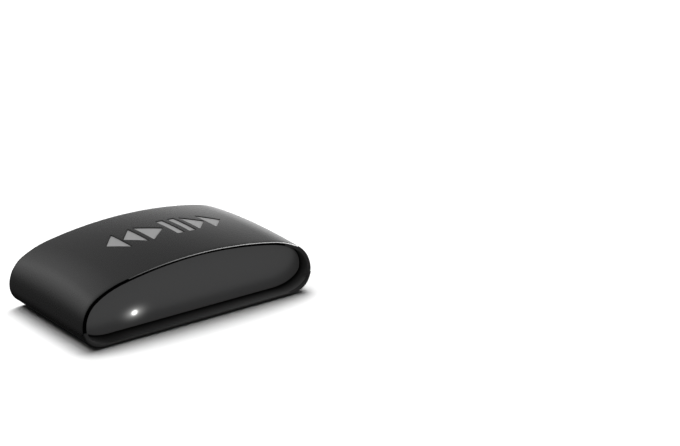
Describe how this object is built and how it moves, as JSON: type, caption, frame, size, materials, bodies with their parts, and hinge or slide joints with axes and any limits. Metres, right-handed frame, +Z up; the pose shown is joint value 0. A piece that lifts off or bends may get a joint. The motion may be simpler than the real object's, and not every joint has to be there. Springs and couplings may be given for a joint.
{
  "type": "streaming media player",
  "caption": "Small arched streaming media box with a sunken dark front window, video and power sockets at the back and a reset button.",
  "frame": {"origin": "middle of the footprint, on the surface the foot pad rests on", "axes": "+X right seen from the front, -Y out of the front window, +Z up"},
  "size_m": [0.071, 0.0388, 0.02],
  "materials": {
    "cover_plastic": "semi-gloss moulded plastic, very dark grey",
    "emblem_print": "light grey satin inlay",
    "case_plastic": "fine-grained moulded plastic, nearly black",
    "window_plastic": "smoked plastic that passes infrared, satin front",
    "foot_rubber": "matt soft rubber",
    "tape_foam": "thin adhesive foam",
    "board_laminate": "solder resist over glass laminate",
    "screw_steel": "zinc-plated steel",
    "port_steel": "folded nickel-plated sheet",
    "port_plastic": "moulded insulator",
    "contact_gold": "gold-plated contacts",
    "button_plastic": "moulded button and plunger",
    "switch_plastic": "moulded switch housing",
    "led_lens": "white lens, lit",
    "clear_plastic": "clear moulded light guide",
    "eye_plastic": "dark infrared lens block",
    "can_tin": "tinned sheet",
    "pad_silicone": "soft heat pad",
    "spreader_aluminium": "plain sheet",
    "chip_epoxy": "moulded package",
    "coil_ferrite": "moulded ferrite",
    "capacitor_ceramic": "ceramic body",
    "tantalum_case": "moulded capacitor case",
    "end_tin": "tinned end caps",
    "resistor_film": "film on ceramic",
    "antenna_sheet": "stamped sheet"
  },
  "bodies": {
    "player": {"top_cover": "cover_plastic", "top_emblem": "emblem_print", "bottom_case": "case_plastic", "foot_pad": "foot_rubber", "front_window": "window_plastic", "window_tape": "tape_foam", "main_board": "board_laminate", "board_screws": "screw_steel", "case_screws": "screw_steel", "hdmi_shell": "port_steel", "hdmi_insulator": "port_plastic", "hdmi_contacts": "contact_gold", "usb_shell": "port_steel", "usb_insulator": "port_plastic", "usb_contacts": "contact_gold", "reset_switch": "switch_plastic", "switch_frame": "port_steel", "status_led": "led_lens", "light_guide": "clear_plastic", "infrared_eye": "eye_plastic", "eye_holder": "can_tin", "shield_fence": "can_tin", "shield_lid": "can_tin", "processor_pad": "pad_silicone", "spreader_pad": "pad_silicone", "heat_spreader": "spreader_aluminium", "processor": "chip_epoxy", "memory_chip": "chip_epoxy", "flash_chip": "chip_epoxy", "radio_chip": "chip_epoxy", "power_chip": "chip_epoxy", "power_coils": "coil_ferrite", "crystals": "end_tin", "input_capacitor": "tantalum_case", "ceramic_capacitors": "capacitor_ceramic", "capacitor_ends": "end_tin", "chip_resistors": "resistor_film", "antenna_left": "antenna_sheet", "antenna_right": "antenna_sheet"},
    "reset_plunger": {"reset_button": "button_plastic", "switch_stem": "button_plastic"}
  },
  "joints": [
    {"name": "reset_press", "type": "slide", "parent": "player", "child": "reset_plunger", "axis": [0, -1, 0], "range_m": [0, 0.0004], "stiffness_N_per_m": 1000}
  ]
}
